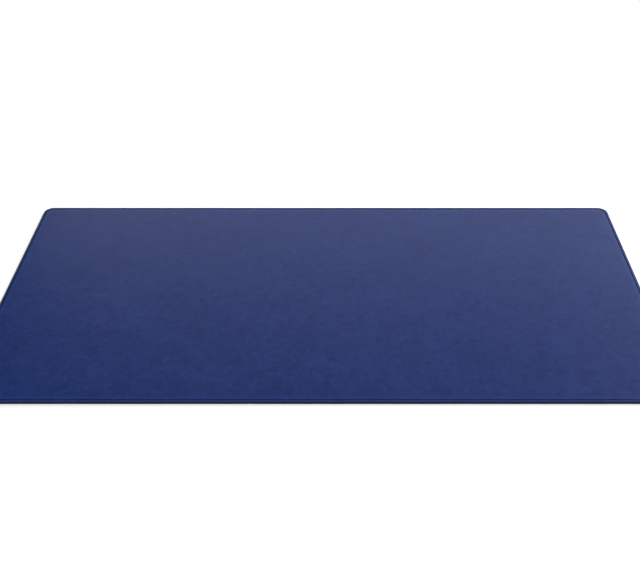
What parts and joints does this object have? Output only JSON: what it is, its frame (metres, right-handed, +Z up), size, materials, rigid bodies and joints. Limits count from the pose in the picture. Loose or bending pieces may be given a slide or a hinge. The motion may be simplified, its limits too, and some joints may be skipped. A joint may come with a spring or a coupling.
{
  "type": "desk mat",
  "caption": "Flat rectangular leather desk mat with rounded corners, a creased border line, painted edges and a non-slip suede underside.",
  "frame": {"origin": "centre of the flat underside, on the surface that the mat lies on", "axes": "+X along the long side (the user's right), +Y towards the back edge, +Z up out of the writing surface"},
  "size_m": [0.8, 0.4, 0.0032],
  "materials": {
    "navy_leather": "satin",
    "lining_suede": "matte",
    "fibre_board": "matte",
    "adhesive_film": "gloss",
    "edge_paint": "satin"
  },
  "bodies": {
    "root": {"suede_lining": "lining_suede", "lower_adhesive": "adhesive_film", "stiffening_board": "fibre_board", "upper_adhesive": "adhesive_film", "leather_cover": "navy_leather", "edge_paint": "edge_paint"}
  },
  "joints": []
}
